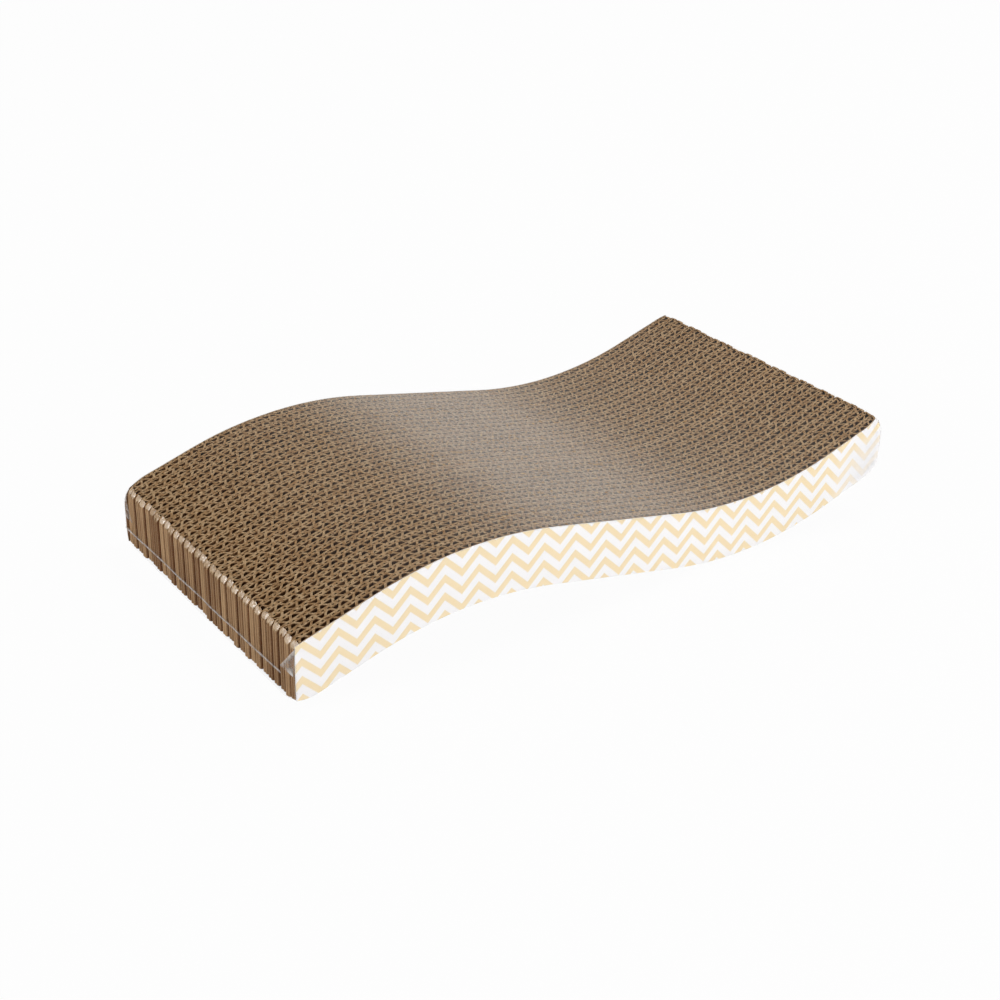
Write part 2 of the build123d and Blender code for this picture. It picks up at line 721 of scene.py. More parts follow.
def kraft_board(look):
    """Matt kraft paper: fibres along the strip, blotches, paper tones and pale torn edges. The pressed
    tips get a glossy coat and a paler colour, partly paler paper and partly painted sheen of the film.
    """
    material, nodes = new_material("kraft_board")
    place_on_strip = nodes.coordinates()
    fibres = nodes.noise(nodes.stretch(place_on_strip, KRAFT_STRETCH), *KRAFT_FIBRES)
    blotches = nodes.noise(place_on_strip, *KRAFT_BLOTCHES)
    specks = nodes.noise(place_on_strip, *KRAFT_SPECKS)
    grain = fibres * FIBRE_SHARE + blotches * BLOTCH_SHARE - TONE_SHIFT
    tone = nodes.smooth(nodes.value("paper_tone") * SHEET_SHARE + grain, *TONE_ENDS)
    paper = nodes.mix(tone, opaque(look.dark), opaque(look.light))
    torn = nodes.value("cut_edge") * nodes.smooth(specks, *SPECK_ENDS)
    patches = nodes.smooth(nodes.noise(place_on_strip, *KRAFT_PATCHES), *PATCH_ENDS)
    fuzz = nodes.mix(patches, opaque(look.cut_shade), opaque(look.cut_edge))
    colour = nodes.mix(torn * TORN_COVER, paper, fuzz)
    # Pressed tips: a glossy coat, and a paler colour that is partly pressed paper and partly painted
    # sheen of the tight film
    tip = nodes.value("tip")
    inputs = {
        "Base Color": nodes.mix(tip * TIP_PALE_AND_SHEEN_COVER, colour, opaque(look.tip)),
        "Coat Weight": tip * TIP_COAT,
        "Coat Roughness": TIP_COAT_ROUGHNESS,
        "Coat IOR": TIP_COAT_IOR,
        "Roughness": nodes.span(fibres, *KRAFT_ROUGHNESS),
        "Specular IOR Level": KRAFT_SPECULAR,
        "Normal": nodes.bump(fibres, *KRAFT_BUMP),
    }
    nodes.finish(nodes.principled(inputs))
    return material


BAND_RAGGED = (900.0, 2.0)
RAGGED_MIDDLE = 0.5
RAGGED_SHARE = 0.03
BAND_SOFT = 0.045
INK_MOTTLE = (320.0, 3.0)
INK_COVER = (0.86, 1.06)
CARD_GRAIN = (1500.0, 2.0)
CARD_ROUGHNESS = (0.42, 0.54)
CARD_SPECULAR = 0.35
CARD_BUMP = (0.12, 0.0001)


def printed_card(look):
    """White coated card with chevron bands."""
    material, nodes = new_material("printed_card")
    place_on_card = nodes.coordinates()
    x = nodes.part(place_on_card, "X")
    z = nodes.part(place_on_card, "Z")
    ragged = nodes.noise(place_on_card, *BAND_RAGGED) - RAGGED_MIDDLE
    climb = 1 - abs(2 * ((x - look.first_low) / look.zigzag_length).fraction() - 1)
    repeats = (z - look.zigzag_rise * climb) / look.band_repeat + ragged * RAGGED_SHARE
    from_middle = abs(repeats.fraction() - look.band_middle)
    half_band = look.band_share / 2
    printed = 1 - nodes.smooth(from_middle, half_band - BAND_SOFT, half_band + BAND_SOFT)
    mottle = nodes.span(nodes.noise(place_on_card, *INK_MOTTLE), *INK_COVER)
    grain = nodes.noise(place_on_card, *CARD_GRAIN)
    ink = printed * mottle * (1 - nodes.value("pale"))
    inputs = {
        "Base Color": nodes.mix(ink, opaque(look.paper), opaque(look.ink)),
        "Roughness": nodes.span(grain, *CARD_ROUGHNESS),
        "Specular IOR Level": CARD_SPECULAR,
        "Normal": nodes.bump(grain, *CARD_BUMP),
    }
    nodes.finish(nodes.principled(inputs))
    return material


CORE_STRETCH = (0.3, 1.0, 1.0)
CORE_FIBRES = (1800.0, 3.0)
CORE_ROUGHNESS = (0.8, 0.95)
CORE_BUMP = (0.2, 0.0001)


def bare_card(look):
    """Uncoated board on the card's cut edges."""
    material, nodes = new_material("bare_card")
    fibres = nodes.noise(nodes.stretch(nodes.coordinates(), CORE_STRETCH), *CORE_FIBRES)
    inputs = {
        "Base Color": nodes.mix(fibres, opaque(look.card_core), opaque(look.paper)),
        "Roughness": nodes.span(fibres, *CORE_ROUGHNESS),
        "Normal": nodes.bump(fibres, *CORE_BUMP),
    }
    nodes.finish(nodes.principled(inputs))
    return material


FILM_RIPPLE = (60.0, 3.0)
FILM_CRINKLE = (260.0, 4.0)
FILM_BUMP = (0.25, 0.0012)
RIPPLE_ROUGHNESS = 0.1
GLOSS_BLEND = 0.5
GLOSS_POWER = 6.0
GLOSS_MOST = 0.25


def clear_film(look):
    """Thin clear film: light passes straight through, and its face shines at a slant."""
    material, nodes = new_material("clear_film")
    place_on_film = nodes.coordinates()
    ripple = nodes.noise(place_on_film, *FILM_RIPPLE)
    crinkle = nodes.noise(place_on_film, *FILM_CRINKLE)
    slant = nodes.add("ShaderNodeLayerWeight", None, {"Blend": GLOSS_BLEND}, "Facing")
    gloss = slant.power(GLOSS_POWER).at_most(GLOSS_MOST) * nodes.value("shine")
    inputs = {
        "Base Color": opaque(look.tint),
        "Metallic": 1.0,
        "Roughness": look.roughness + RIPPLE_ROUGHNESS * ripple,
        "Normal": nodes.bump(ripple + nodes.value("crinkle") * crinkle, *FILM_BUMP),
    }
    clear = nodes.add("ShaderNodeBsdfTransparent")
    nodes.finish(nodes.blend(gloss, clear, nodes.principled(inputs)))
    return material


# Painted sheen on the inner face: its mottle noise, and the spread of its cover
PAINTED_SHEEN_MOTTLE = (240.0, 3.0)
PAINTED_SHEEN_SPREAD = (0.85, 1.15)


def inner_film(look):
    """Inner face of the film, which adds no shine of its own; in places a pale diffuse veil on it is
    painted sheen, standing in for the film's glare.
    """
    material, nodes = new_material("inner_film")
    sheen_mottle = nodes.noise(nodes.coordinates(), *PAINTED_SHEEN_MOTTLE)
    clear = nodes.add("ShaderNodeBsdfTransparent")
    sheen_veil = nodes.add("ShaderNodeBsdfDiffuse", None, {"Color": opaque(look.sheen_veil_tint)})
    # Painted sheen: share of the pale diffuse veil over the clear face
    cover = nodes.value("painted_sheen") * nodes.span(sheen_mottle, *PAINTED_SHEEN_SPREAD)
    nodes.finish(nodes.blend(cover, clear, sheen_veil))
    return material


MILK_PATCHES = (420.0, 3.0)
MILK_ENDS = (0.3, 0.7)
MILK_COVER = (0.45, 1.0)
MILK_ROUGHNESS = (0.3, 0.5)
MILK_BUMP = (0.4, 0.0004)
MILK_GLOW = 0.2


def milky_film(look):
    """Melted or doubled film, pale and only partly clear."""
    material, nodes = new_material("milky_film")
    patches = nodes.noise(nodes.coordinates(), *MILK_PATCHES)
    inputs = {
        "Base Color": opaque(look.weld_tint),
        "Roughness": nodes.span(patches, *MILK_ROUGHNESS),
        "Normal": nodes.bump(patches, *MILK_BUMP),
    }
    glow = nodes.add("ShaderNodeBsdfTranslucent", None, {"Color": opaque(look.weld_tint)})
    melt = nodes.blend(MILK_GLOW, nodes.principled(inputs), glow)
    clear = nodes.add("ShaderNodeBsdfTransparent")
    cover = nodes.value("milk") * nodes.span(nodes.smooth(patches, *MILK_ENDS), *MILK_COVER)
    nodes.finish(nodes.blend(cover, clear, melt))
    return material


# Strips. Lengths are in metres, and tones, tips and shares run from 0 to 1

FLUTE_STEPS = 14
FLUTE_ROUND = 0.6
LINER_STEP = 0.004
NOSE_POINTS = 17
NOSE_POWER = 0.62
NOSE_SHARES = (0.05, 0.3, 0.55, 0.8, 0.95, 1.05)
NOSE_LEAN = 0.0004
# Painted shade in the gaps between pressed ends and down the groove in each end
GAP_PAINTED_SHADE = 0.8
GROOVE_PAINTED_SHADE = 0.5
GROOVE_DEPTH = 0.0008
GROOVE_TURN = 0.12
NOSE_ROUND = 0.0007
# How much each end's pressed tips get of the coat and of the paler colour with painted sheen
LEFT_TIP = 1.0
RIGHT_TIP = 0.1
TIP_CHANGE = 1.5
FOOT_TIP_SHARE = 0.2
EDGE_FUZZ = 0.00012
LINER_TONE = 0.3
NOSE_TONE = 0.5
MEDIUM_TONE = 0.4
CREST_BURR = 0.25
CRUSH_SHARE = 0.14
LEAN_SHARE = 0.35
WANDER_SHARE = 0.12
WANDER_PITCHES = 5
CRUSH_PITCHES = 2
GAP_SHADE_POWER = 3


class StripCut:
    """Where one strip was cut: its ends, and how its edges lie above or below the others."""

    def __init__(self, sizes, wave, random):
        self.left = -wave.half_length + sizes.end_spread * random.random()
        self.right = wave.half_length - sizes.end_spread * random.random()
        self.level = -sizes.level_spread * random.random()
        self.foot = sizes.foot_spread * random.random() ** 2


def strip_cuts(sizes, wave):
    """The cut of every strip, front to back."""
    random = np.random.default_rng(sizes.seed)
    return [StripCut(sizes, wave, random) for _ in STRIP_NODES]


def drift(x, length, random):
    """Slow random wander from -1 to 1 along x."""
    knots = np.arange(x.min() - length, x.max() + 2 * length, length)
    return np.interp(x, knots, random.uniform(-1, 1, len(knots)))


def tip_sink(from_end, radius):
    """How far a strip's rounded corner lies below its upper edge, at distances from its end."""
    inward = np.clip(radius - from_end, 0, radius)
    return radius - np.sqrt(radius**2 - inward**2)


def edge_rows(x, cut, sizes, wave, random, near_burr, far_burr):
    """Foot, start of the rough edge and top of a sheet at distances x, with how much thicker the
    rough edge is towards each side."""
    lower = wave.lower(x)
    left_radius, right_radius = sizes.tip_radii
    tip = tip_sink(x - cut.left, left_radius) + tip_sink(cut.right - x, right_radius)
    top = lower + wave.height + cut.level - tip + random.normal(0, EDGE_FUZZ, len(x))
    foot = lower + cut.foot + FOOT_TIP_SHARE * tip
    return (
        (foot, 1.0, 1.0, 0.0),
        (top - sizes.burr_depth, 1.0, 1.0, 0.0),
        (top, near_burr, far_burr, 1.0),
    )


def flute_line(cut, middle, height, pitch, sizes, random):
    """Plan line of a fluted paper that swings between its two liners."""
    steps = int(FLUTE_STEPS * (cut.right - cut.left) / pitch)
    x = np.linspace(cut.left + sizes.nose_depth, cut.right - sizes.nose_depth, steps)
    wander = WANDER_SHARE * drift(x, WANDER_PITCHES * pitch, random)
    turn = 2 * math.pi * (x / pitch + random.random() + wander)
    lean = LEAN_SHARE * random.uniform(-1, 1)
    swing = (height - sizes.medium_thickness) / 2
    crush = 1 - CRUSH_SHARE * np.abs(drift(x, CRUSH_PITCHES * pitch, random))
    sway = np.sin(turn + lean * np.sin(turn))
    sway *= np.sqrt((1 + FLUTE_ROUND**2) / (sway**2 + FLUTE_ROUND**2))
    return np.column_stack((x, middle + swing * crush * sway))


NOSE_TURNS = np.linspace(-math.pi / 2, math.pi / 2, NOSE_POINTS)
NOSE_GROOVE = np.exp(-((NOSE_TURNS / GROOVE_TURN) ** 2))
NOSE_ACROSS = np.sign(NOSE_TURNS) * np.abs(np.sin(NOSE_TURNS)) ** NOSE_POWER
NOSE_ALONG = np.abs(np.cos(NOSE_TURNS)) ** NOSE_POWER


def nose_line(end, inward, middle, half, share, groove, sizes):
    """Plan line round a strip's pressed end, or a like line further inside it."""
    depth = sizes.nose_depth * (1 - share * NOSE_ALONG) + share * groove * NOSE_GROOVE
    x = end + inward * (sizes.nose_paper / 2 + depth)
    return np.column_stack((x, middle + share * half * NOSE_ACROSS))


def add_nose(sheets, end, inward, tip, middle, half, cut, sizes, wave, random):
    """Pressed end of a strip: the paper round it, darkened by painted shade towards the gaps and in its
    groove, closed by a domed cut surface.
    """
    tone = NOSE_TONE + (1 - NOSE_TONE) * random.random()
    middle = middle + NOSE_LEAN * random.uniform(-1, 1)
    groove = GROOVE_DEPTH * random.random()
    wall = nose_line(end, inward, middle, half, 1.0, groove, sizes)
    # Painted shade: the paper's tone is darker towards the gaps between pressed ends and down the
    # groove in each end
    shade = GAP_PAINTED_SHADE * np.abs(NOSE_ACROSS) ** GAP_SHADE_POWER + GROOVE_PAINTED_SHADE * NOSE_GROOVE
    rows = edge_rows(wall[:, 0], cut, sizes, wave, random, 1.0, 1.0)
    sheets.add(wall, sizes.nose_paper / 2, rows, tone - shade)
    lid = []
    for share in NOSE_SHARES:
        line = nose_line(end, inward, middle, half, share, groove, sizes)
        top = edge_rows(line[:, 0], cut, sizes, wave, random, 1.0, 1.0)[-1][0]
        lid.append(np.column_stack((line, top + NOSE_ROUND * (1 - share**2))))
    sheets.add_lid(np.stack(lid if inward < 0 else lid[::-1]), tip * tone, tip * tone**TIP_CHANGE)


def fluted_strip(name, node, cut, sizes, wave, press, material, random):
    """One strip from its five papers, with its ends pressed round."""
    sheets = Sheets()
    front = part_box(node)[0].y
    liner = sizes.liner_thickness
    second = front + liner + sizes.large_height
    third = second + liner + sizes.small_height
    steps = int((cut.right - cut.left) / LINER_STEP)
    x = np.linspace(cut.left + sizes.nose_depth, cut.right - sizes.nose_depth, steps)
    for face in (front, second, third):
        line = np.column_stack((x, np.full(len(x), face + liner / 2)))
        # A face that is glued to the next strip has no burr
        near_burr = sizes.liner_burr if face != front else 1.0
        far_burr = sizes.liner_burr if face != third else 1.0
        rows = edge_rows(x, cut, sizes, wave, random, near_burr, far_burr)
        sheets.add(line, liner / 2, rows, LINER_TONE + (1 - LINER_TONE) * random.random())
    for face, height, pitch, burr in (
        (front, sizes.large_height, sizes.large_pitch, sizes.large_burr),
        (second, sizes.small_height, sizes.small_pitch, sizes.small_burr),
    ):
        line = flute_line(cut, face + liner + height / 2, height, pitch, sizes, random)
        steep = np.abs(np.gradient(line[:, 1], line[:, 0]))
        flank = CREST_BURR + (1 - CREST_BURR) * steep / steep.max()
        burrs = 1 + (burr - 1) * flank
        rows = edge_rows(line[:, 0], cut, sizes, wave, random, burrs, burrs)
        sheets.add(line, sizes.medium_thickness / 2, rows, MEDIUM_TONE * random.random())
    middle = (front + third + liner) / 2
    half = (third + liner - front - sizes.nose_gap) / 2
    for end, inward, tip in ((cut.left, 1, LEFT_TIP), (cut.right, -1, RIGHT_TIP)):
        add_nose(sheets, end, inward, tip, middle, half, cut, sizes, wave, random)
    points = press_corners(sheets.all_points(), wave, press)
    return mesh_piece(name, points, sheets.all_faces(), [material], sheets.all_values())


# Panels

PANEL_STEP = 0.003
PANEL_ROWS = 9
PANEL_BOW = 0.00012
BOW_LENGTH = 0.024
PALE_LENGTH = 0.04
PALE_SHARE = 0.85
PALEST = 0.9
FACE_SHARE = 0.5
PRINTED, EDGE, INNER_SIDE = range(3)
CARD_TONE = 0.5


def side_panel(name, node, wave, press, materials, random):
    """One printed card with a slight unevenness, cut along the wave, brown on its inside."""
    sheets = Sheets()
    low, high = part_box(node)
    steps = int((high.x - low.x) / PANEL_STEP)
    x = np.linspace(low.x, high.x, steps)
    y = (low.y + high.y) / 2 + PANEL_BOW * drift(x, BOW_LENGTH, random)
    lower = wave.lower(x)
    shares = np.linspace(0, 1, PANEL_ROWS)
    rows = [(lower + share * wave.height, 1.0, 1.0, 0.0) for share in shares]
    sheets.add(np.column_stack((x, y)), (high.y - low.y) / 2, rows, 0.0)
    points = press_corners(sheets.all_points(), wave, press)
    from_end = wave.half_length - points[:, 0]
    level = (points[:, 2] - wave.lower(points[:, 0])) / wave.height
    pale = np.clip(1 - from_end / PALE_LENGTH, 0, 1) * np.clip(1 - level / PALE_SHARE, 0, 1)
    values = {"pale": PALEST * np.sqrt(pale), "paper_tone": np.full(len(points), CARD_TONE)}
    piece = mesh_piece(name, points, sheets.all_faces(), materials, values)
    outward = math.copysign(1, low.y)
    for face in piece.data.polygons:
        facing = outward * face.normal.y
        flat = PRINTED if facing > 0 else INNER_SIDE
        face.material_index = flat if abs(facing) > FACE_SHARE else EDGE
    return piece


# Film. Lengths are in metres, and milk, painted sheen and covers run from 0, clear, to 1

FILM_STEP = 0.0045
FILM_ROWS = 12
STRIP_COLUMNS = 4
FILM_ROUND = 0.0009
EDGE_SHARES = (0.0, 0.3, 1.0, 2.2, 4.0)
SIDE_FADE = 0.004
END_FADE = 0.005
CLEAR, INNER, MILKY = range(3)
CALM = 0.15
DULL_END = 0.92
CRINKLE_REACH = 0.03
# Painted sheen along the pad, as shares of half its length, and its cover at each
PAINTED_SHEEN_SHARES = (-0.9, -0.5, -0.12, 0.12, 0.5, 1.0)
PAINTED_SHEEN_COVERS = (0.0, 0.055, 0.25, 0.25, 0.105, 0.04)
WELD_POINTS = 90
WELD_WANDER = 0.0004
WELD_SWING = 0.012
WELD_MILK = 0.8
WELD_CHANGE = 0.2
FOLD_POINTS = 16
FOLD_TOP = 0.97
FOLD_INSET = 0.0022
FOLD_TILT = 0.01
FOLD_BULGE = 0.0006
FOLD_STAND = 0.0002
FOLD_RIM = 0.22
FOLD_HAZE = 0.14
FOLD_START = 0.04
BACK_FOLDS = (0.4, 0.7)
BULGE_RUN = 1.5
RIM_MILK_AND_HIGHLIGHT = 0.9
RIM_FADE = 0.45
HEM_START = 0.7
HEM_RISE = 2.2
CORNER_LINE = 0.0016
CORNER_SHARES = (0.02, 0.98)
CORNER_CHANGE = 0.6
CORNER_SWING = 0.12
CORNER_STAND = 0.0001
CORNER_MILK = 0.3
VEIL_POINTS = 16
VEIL_LENGTH = 0.03
VEIL_SHARE = 0.75
VEIL_MILK = 0.2
VEIL_CRUMPLE = 0.00012
VEIL_FADE = 8
CORNERS = [(x_side, y_side) for x_side in (-1, 1) for y_side in (-1, 1)]


def spaced(low, high, count, inset):
    """Even places from low to high, with closer ones where the film bends round an edge."""
    near_edge = inset * np.array(EDGE_SHARES)
    margin = near_edge[-1] + (high - low) / count / 2
    return np.concatenate(
        (low + near_edge, np.linspace(low + margin, high - margin, count), high - near_edge[::-1])
    )


def lattice_skin(counts):
    """Grid places of the points on the outside of a block of that many points each way, and the
    faces between them, facing out."""
    on_skin = np.ones(counts, bool)
    on_skin[1:-1, 1:-1, 1:-1] = False
    number = np.full(counts, -1)
    places = np.argwhere(on_skin)
    number[tuple(places.T)] = np.arange(len(places))
    faces = []
    for axis in range(3):
        for end in (0, -1):
            side = np.take(number, end, axis=axis)
            ring = [side[:-1, :-1], side[1:, :-1], side[1:, 1:], side[:-1, 1:]]
            outward = (end == -1) != (axis == 1)
            ring = ring if outward else ring[::-1]
            faces.append(np.stack([part.ravel() for part in ring], axis=1))
    return places, np.concatenate(faces)


def film_bag(look, sizes, wave, press):
    """Points of the film's outside and its faces."""
    reach = look.reach
    end, side, top = wave.half_length + reach, half_width() + reach, wave.height + reach
    grid = (
        spaced(-end, end, int(2 * end / FILM_STEP), FILM_ROUND),
        spaced(-side, side, STRIP_COLUMNS * len(STRIP_NODES) + 1, FILM_ROUND),
        spaced(-reach, top, FILM_ROWS, FILM_ROUND),
    )
    places, faces = lattice_skin([len(values) for values in grid])
    points = np.column_stack([values[places[:, axis]] for axis, values in enumerate(grid)])
    # Round every edge: each point lies one radius from a smaller block
    low = [values[0] + FILM_ROUND for values in grid]
    high = [values[-1] - FILM_ROUND for values in grid]
    core = np.clip(points, low, high)
    away = points - core
    points = core + FILM_ROUND * away / np.linalg.norm(away, axis=1, keepdims=True)
    # The film follows the rounded tips of the strips, and sinks in between their ends
    centres = np.array([sum(corner.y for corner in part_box(node)) / 2 for node in STRIP_NODES])
    pitch = centres[1] - centres[0]
    off_centre = 2 * np.abs(((points[:, 1] - centres[0]) / pitch + 0.5) % 1 - 0.5)
    on_strips = np.clip((side - np.abs(points[:, 1])) / SIDE_FADE, 0, 1)
    level = np.clip(points[:, 2] / wave.height, 0, 1)
    for x_side, radius in zip((-1, 1), sizes.tip_radii):
        from_end = end - x_side * points[:, 0]
        near_end = np.clip(1 - from_end / END_FADE, 0, 1)
        points[:, 0] -= x_side * on_strips * near_end * look.sink * off_centre**2
        points[:, 2] -= level * on_strips * tip_sink(from_end, radius)
    points[:, 2] += wave.lower(points[:, 0])
    return press_corners(points, wave, press), faces


class FilmMesh:
    """Points, faces, materials and values of the film piece while it grows."""

    def __init__(self):
        self.points = []
        self.faces = []
        self.kinds = []
        self.values = {"crinkle": [], "shine": [], "milk": [], "painted_sheen": []}
        self.count = 0

    def add(self, points, faces, kind, **values):
        """Add faces of one kind, with the values of their points. A value left out is 0."""
        self.points.append(points)
        self.faces += [[corner + self.count for corner in face] for face in faces.tolist()]
        self.kinds += [kind] * len(faces)
        for name, parts in self.values.items():
            parts.append(np.broadcast_to(values.get(name, 0.0), len(points)))
        self.count += len(points)

    def add_patch(self, points, milk):
        """Add a milky patch from a grid of points."""
        rows, columns = milk.shape
        number = np.arange(rows * columns).reshape(rows, columns)
        self.add(points.reshape(-1, 3), grid_faces(number), MILKY, milk=milk.ravel())

    def add_ribbon(self, path, across, out, milk):
        """Add a soft line: milky along its path, clear along its edges, raised in the middle."""
        rows = [path - across, path + out, path + across]
        self.add_patch(np.stack(rows), np.stack([0 * milk, milk, 0 * milk]))

    def finish(self, name, materials):
        values = {key: np.concatenate(parts) for key, parts in self.values.items()}
        points = np.concatenate(self.points)
        return mesh_piece(name, points, self.faces, materials, values, self.kinds)


def weld_level(y, look):
    """Level of the weld across the pad, of the strip height."""
    across = half_width() + look.reach
    return np.interp(y, (-across, across), look.weld_shares)


def add_weld(film, look, wave, press, random):
    """Pressed line along both ends and along the back."""
    end, side = wave.half_length + look.reach, half_width() + look.reach
    along = np.linspace(look.weld_start - side, side, WELD_POINTS)
    back = np.linspace(-end, end, 2 * WELD_POINTS)
    for x, y, out in (
        (np.full(WELD_POINTS, -end), along, (-1, 0, 0)),
        (np.full(WELD_POINTS, end), along, (1, 0, 0)),
        (back, np.full(2 * WELD_POINTS, side), (0, 1, 0)),
    ):
        run = x + y
        level = weld_level(y, look) * wave.height + WELD_WANDER * drift(run, WELD_SWING, random)
        path = press_corners(np.column_stack((x, y, wave.lower(x) + level)), wave, press)
        path += look.weld_stand / 2 * np.array(out)
        milk = WELD_MILK + WELD_CHANGE * drift(run, WELD_SWING / 2, random)
        across = np.array((0, 0, look.weld_height / 2))
        film.add_ribbon(path, across, look.weld_stand * np.array(out), milk)


def unit_grid(start, count):
    """Shares along and across a patch, the first of them from start."""
    return np.meshgrid(np.linspace(start, 1, count), np.linspace(0, 1, count), indexing="ij")


def add_folds(film, look, wave, press, random):
    """Doubled three-cornered fold on the end faces beside each upright corner, its edges milky, partly
    with painted highlight.
    """
    end, side = wave.half_length + look.reach, half_width() + look.reach
    u, v = unit_grid(FOLD_START, FOLD_POINTS)
    for x_side, y_side in CORNERS:
        size = 1.0 if y_side < 0 else random.uniform(*BACK_FOLDS)
        top = np.array((0.0, FOLD_TOP))
        outer = np.array((size * look.fold_length, look.fold_share))
        inner = np.array((FOLD_INSET, look.fold_share + FOLD_TILT))
        spread = (1 - v)[..., None] * (outer - top) + v[..., None] * (inner - top)
        inset, level = np.moveaxis(top + u[..., None] * spread, -1, 0)
        bulge = np.sin(math.pi * u) * np.sin(math.pi * np.clip(v * BULGE_RUN, 0, 1))
        x = np.full(u.size, float(x_side * end))
        z = wave.lower(x) + level.ravel() * wave.height
        points = np.column_stack((x, y_side * (side - inset.ravel()), z))
        points = press_corners(points, wave, press)
        points[:, 0] += x_side * (FOLD_STAND + FOLD_BULGE * bulge.ravel())
        # The fold's edges are milkier: partly creased film drawn white, partly painted highlight where
        # light catches the fold's edges
        rim_milk_and_highlight = np.exp(-((v * u / FOLD_RIM) ** 2)) * (1 - RIM_FADE * u)
        hem_milk_and_highlight = np.exp(-(((1 - u) / FOLD_RIM) ** 2)) * np.clip(HEM_RISE * v - HEM_START, 0, 1)
        milk = size * np.clip(FOLD_HAZE + RIM_MILK_AND_HIGHLIGHT * rim_milk_and_highlight + hem_milk_and_highlight, 0, 1)
        film.add_patch(points.reshape(*u.shape, 3), milk)


def add_corner_lines(film, look, wave, press, random):
    """Film drawn white where it bends round the upright corners."""
    end, side = wave.half_length + look.reach, half_width() + look.reach
    level = np.linspace(*CORNER_SHARES, WELD_POINTS // 2)
    for x_side, y_side in CORNERS:
        x = np.full(len(level), float(x_side * end))
        y = np.full(len(level), y_side * side)
        path = np.column_stack((x, y, wave.lower(x) + level * wave.height))
        path = press_corners(path, wave, press)
        out = CORNER_STAND * np.array((x_side, y_side, 0.0))
        across = CORNER_LINE * np.array((x_side, -y_side, 0.0)) / 2
        milk = CORNER_MILK * (1 + CORNER_CHANGE * drift(level, CORNER_SWING, random))
        film.add_ribbon(path - out, across - out, 2 * out, np.clip(milk, 0, 1))


def add_veils(film, look, wave, press, random):
    """Crumpled film drawn together over the lower corners of the panels at the right end."""
    side = half_width() + look.reach
    u, v = unit_grid(0, VEIL_POINTS)
    for y_side in (-1, 1):
        x = wave.half_length - VEIL_LENGTH * u.ravel()
        z = wave.lower(x) + VEIL_SHARE * wave.height * v.ravel()
        points = press_corners(np.column_stack((x, np.full(u.size, y_side * side), z)), wave, press)
        crumple = random.random(u.shape)
        points[:, 1] += y_side * VEIL_CRUMPLE * crumple.ravel()
        edge = np.minimum(1, VEIL_FADE * u) * np.minimum(1, VEIL_FADE * v)
        milk = VEIL_MILK * (1 - u) * np.sqrt(1 - v) * edge * (1 + crumple) / 2
        film.add_patch(points.reshape(*u.shape, 3), milk)


def film_piece(name, look, sizes, wave, press):
    """The film with its inner face, its weld, its folds and its crumpled corners."""
    random = np.random.default_rng(look.seed)
    outside, faces = film_bag(look, sizes, wave, press)
    bag = bpy.data.meshes.new(name)
    bag.from_pydata(outside.tolist(), [], faces.tolist())
    normals = np.zeros(3 * len(outside), np.float32)
    bag.vertices.foreach_get("normal", normals)
    bpy.data.meshes.remove(bag)
    normals = normals.reshape(-1, 3)
    inside = outside - look.thickness * normals
    from_end = wave.half_length + look.reach - np.abs(outside[:, 0])
    crinkle = CALM + (1 - CALM) * np.clip(1 - from_end / CRINKLE_REACH, 0, 1)
    film = FilmMesh()
    shine = 1 - DULL_END * np.abs(normals[:, 0])
    film.add(outside, faces, CLEAR, crinkle=crinkle, shine=shine)
    # Painted sheen: a pale veil on the inner face, strongest over the middle of the pad and only on
    # faces that look up, standing in for the film's glare
    painted_sheen = np.interp(outside[:, 0] / wave.half_length, PAINTED_SHEEN_SHARES, PAINTED_SHEEN_COVERS)
    painted_sheen *= np.clip(normals[:, 2], 0, 1)
    film.add(inside, faces[:, ::-1], INNER, painted_sheen=painted_sheen)
    for add_detail in (add_weld, add_folds, add_corner_lines, add_veils):
        add_detail(film, look, wave, press, random)
    return film.finish(name, [clear_film(look), inner_film(look), milky_film(look)])


# Stage

FLOOR_HALF = 9.0
BACKDROP_TOP = math.sin(math.radians(10))
CEILING_START = math.sin(math.radians(36))
BACKDROP_SIDE = (0.7, 0.7, 0.0)
BACKDROP_EDGE = 0.7
KEY_PLACE = (0.1, -1.5, 0.2)
KEY_SIZE = (1.4, 0.3)
TOP_PLACE = (1.6, 0.3, 2.6)
TOP_SIZE = (1.2, 1.2)
SIDE_PLACE = (-2.1, 0.87, 0.98)
SIDE_SIZE = (1.6, 1.6)
WHITE = (1.0, 1.0, 1.0)
FLOOR_GLOW = 0.97
FLOOR_GRAIN = (4.0, 3.0)
FLOOR_ROUGHNESS = (0.9, 0.95)
# Floor that the pad shades, less what shows under the near lower edge of its crest
SHADE_CREST = -0.075
SHADE_HALF = 0.165
SHADE_SLOPE = 0.28
SHADE_FADE = 0.01


def seen_directly(nodes):
    """1 where the camera sees a surface, also in a reflection or through something clear."""
    rays = ("Is Camera Ray", "Is Glossy Ray", "Is Transmission Ray")
    return sum(nodes.add("ShaderNodeLightPath", output=ray) for ray in rays)


